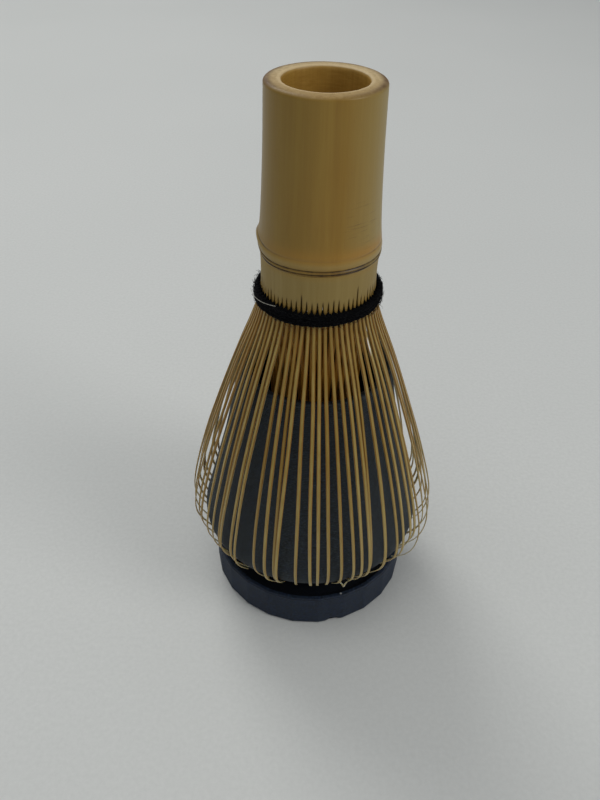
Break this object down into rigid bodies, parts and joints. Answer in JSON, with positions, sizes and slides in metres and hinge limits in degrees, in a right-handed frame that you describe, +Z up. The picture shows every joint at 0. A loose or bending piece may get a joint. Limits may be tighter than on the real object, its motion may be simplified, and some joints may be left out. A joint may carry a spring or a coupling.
{
  "type": "bamboo tea whisk",
  "caption": "Hand-carved bamboo tea whisk with fine tines, lashed with black thread and stored over a bulb-shaped stand on a faceted base.",
  "frame": {"origin": "centre of the underside of the stand's base ring", "axes": "+Z up along the whisk and stand, handle at the top; +X to the right and +Y away from the front"},
  "size_m": [0.0601, 0.06, 0.1274],
  "materials": {
    "bamboo_skin": "satin",
    "bamboo_flesh": "matte",
    "bamboo_inside": "matte",
    "bamboo_tine": "satin",
    "bamboo_tine_inner": "satin",
    "thread": "matte",
    "stand_plastic": "matte"
  },
  "bodies": {
    "stand": {"stand_base": "stand_plastic", "stand_bulb": "stand_plastic"},
    "whisk": {"handle_culm": "bamboo_skin", "node_septum": "bamboo_inside", "root_collar": "bamboo_flesh", "thread_windings": "thread", "thread_weave": "thread", "thread_knot": "thread", "inner_tines_01": "bamboo_tine_inner", "inner_tines_02": "bamboo_tine_inner", "inner_tines_03": "bamboo_tine_inner", "inner_tines_04": "bamboo_tine_inner", "inner_tines_05": "bamboo_tine_inner", "inner_tines_06": "bamboo_tine_inner", "inner_tines_07": "bamboo_tine_inner"},
    "tines_01": {"outer_tines_01": "bamboo_tine"},
    "tines_02": {"outer_tines_02": "bamboo_tine"},
    "tines_03": {"outer_tines_03": "bamboo_tine"},
    "tines_04": {"outer_tines_04": "bamboo_tine"},
    "tines_05": {"outer_tines_05": "bamboo_tine"},
    "tines_06": {"outer_tines_06": "bamboo_tine"},
    "tines_07": {"outer_tines_07": "bamboo_tine"},
    "tines_08": {"outer_tines_08": "bamboo_tine"},
    "tines_09": {"outer_tines_09": "bamboo_tine"},
    "tines_10": {"outer_tines_10": "bamboo_tine"},
    "tines_11": {"outer_tines_11": "bamboo_tine"},
    "tines_12": {"outer_tines_12": "bamboo_tine"},
    "tines_13": {"outer_tines_13": "bamboo_tine"},
    "tines_14": {"outer_tines_14": "bamboo_tine"}
  },
  "joints": [
    {"name": "whisk_lift", "type": "slide", "parent": "stand", "child": "whisk", "axis": [0, 0, 1], "range_m": [0, 0.08], "deforming": ["outer_tines_01", "outer_tines_02", "outer_tines_03", "outer_tines_04", "outer_tines_05", "outer_tines_06", "outer_tines_07", "outer_tines_08", "outer_tines_09", "outer_tines_10", "outer_tines_11", "outer_tines_12", "outer_tines_13", "outer_tines_14"]},
    {"name": "tine_spread_01", "type": "hinge", "parent": "whisk", "child": "tines_01", "pos_m": [0.01209, 0.00338, 0.083], "axis": [0.2695, -0.963, 0], "range_deg": [0, 6], "stiffness_Nm_per_rad": 0.006},
    {"name": "tine_spread_02", "type": "hinge", "parent": "whisk", "child": "tines_02", "pos_m": [0.00942, 0.00829, 0.083], "axis": [0.6606, -0.7507, 0], "range_deg": [0, 6], "stiffness_Nm_per_rad": 0.006},
    {"name": "tine_spread_03", "type": "hinge", "parent": "whisk", "child": "tines_03", "pos_m": [0.00489, 0.01156, 0.083], "axis": [0.9209, -0.3897, 0], "range_deg": [0, 6], "stiffness_Nm_per_rad": 0.006},
    {"name": "tine_spread_04", "type": "hinge", "parent": "whisk", "child": "tines_04", "pos_m": [-0.00061, 0.01253, 0.083], "axis": [0.9988, 0.0485, 0], "range_deg": [0, 6], "stiffness_Nm_per_rad": 0.006},
    {"name": "tine_spread_05", "type": "hinge", "parent": "whisk", "child": "tines_05", "pos_m": [-0.00599, 0.01103, 0.083], "axis": [0.8789, 0.477, 0], "range_deg": [0, 6], "stiffness_Nm_per_rad": 0.006},
    {"name": "tine_spread_06", "type": "hinge", "parent": "whisk", "child": "tines_06", "pos_m": [-0.01018, 0.00734, 0.083], "axis": [0.5849, 0.8111, 0], "range_deg": [0, 6], "stiffness_Nm_per_rad": 0.006},
    {"name": "tine_spread_07", "type": "hinge", "parent": "whisk", "child": "tines_07", "pos_m": [-0.01236, 0.0022, 0.083], "axis": [0.175, 0.9846, 0], "range_deg": [0, 6], "stiffness_Nm_per_rad": 0.006},
    {"name": "tine_spread_08", "type": "hinge", "parent": "whisk", "child": "tines_08", "pos_m": [-0.01209, -0.00338, 0.083], "axis": [-0.2695, 0.963, 0], "range_deg": [0, 6], "stiffness_Nm_per_rad": 0.006},
    {"name": "tine_spread_09", "type": "hinge", "parent": "whisk", "child": "tines_09", "pos_m": [-0.00942, -0.00829, 0.083], "axis": [-0.6606, 0.7507, 0], "range_deg": [0, 6], "stiffness_Nm_per_rad": 0.006},
    {"name": "tine_spread_10", "type": "hinge", "parent": "whisk", "child": "tines_10", "pos_m": [-0.00489, -0.01156, 0.083], "axis": [-0.9209, 0.3897, 0], "range_deg": [0, 6], "stiffness_Nm_per_rad": 0.006},
    {"name": "tine_spread_11", "type": "hinge", "parent": "whisk", "child": "tines_11", "pos_m": [0.00061, -0.01253, 0.083], "axis": [-0.9988, -0.0485, 0], "range_deg": [0, 6], "stiffness_Nm_per_rad": 0.006},
    {"name": "tine_spread_12", "type": "hinge", "parent": "whisk", "child": "tines_12", "pos_m": [0.00599, -0.01103, 0.083], "axis": [-0.8789, -0.477, 0], "range_deg": [0, 6], "stiffness_Nm_per_rad": 0.006},
    {"name": "tine_spread_13", "type": "hinge", "parent": "whisk", "child": "tines_13", "pos_m": [0.01018, -0.00734, 0.083], "axis": [-0.5849, -0.8111, 0], "range_deg": [0, 6], "stiffness_Nm_per_rad": 0.006},
    {"name": "tine_spread_14", "type": "hinge", "parent": "whisk", "child": "tines_14", "pos_m": [0.01236, -0.0022, 0.083], "axis": [-0.175, -0.9846, 0], "range_deg": [0, 6], "stiffness_Nm_per_rad": 0.006}
  ],
  "couplings": [
    {"joint": "tine_spread_02", "follows": "tine_spread_01", "ratio": 1},
    {"joint": "tine_spread_03", "follows": "tine_spread_01", "ratio": 1},
    {"joint": "tine_spread_04", "follows": "tine_spread_01", "ratio": 1},
    {"joint": "tine_spread_05", "follows": "tine_spread_01", "ratio": 1},
    {"joint": "tine_spread_06", "follows": "tine_spread_01", "ratio": 1},
    {"joint": "tine_spread_07", "follows": "tine_spread_01", "ratio": 1},
    {"joint": "tine_spread_08", "follows": "tine_spread_01", "ratio": 1},
    {"joint": "tine_spread_09", "follows": "tine_spread_01", "ratio": 1},
    {"joint": "tine_spread_10", "follows": "tine_spread_01", "ratio": 1},
    {"joint": "tine_spread_11", "follows": "tine_spread_01", "ratio": 1},
    {"joint": "tine_spread_12", "follows": "tine_spread_01", "ratio": 1},
    {"joint": "tine_spread_13", "follows": "tine_spread_01", "ratio": 1},
    {"joint": "tine_spread_14", "follows": "tine_spread_01", "ratio": 1}
  ]
}
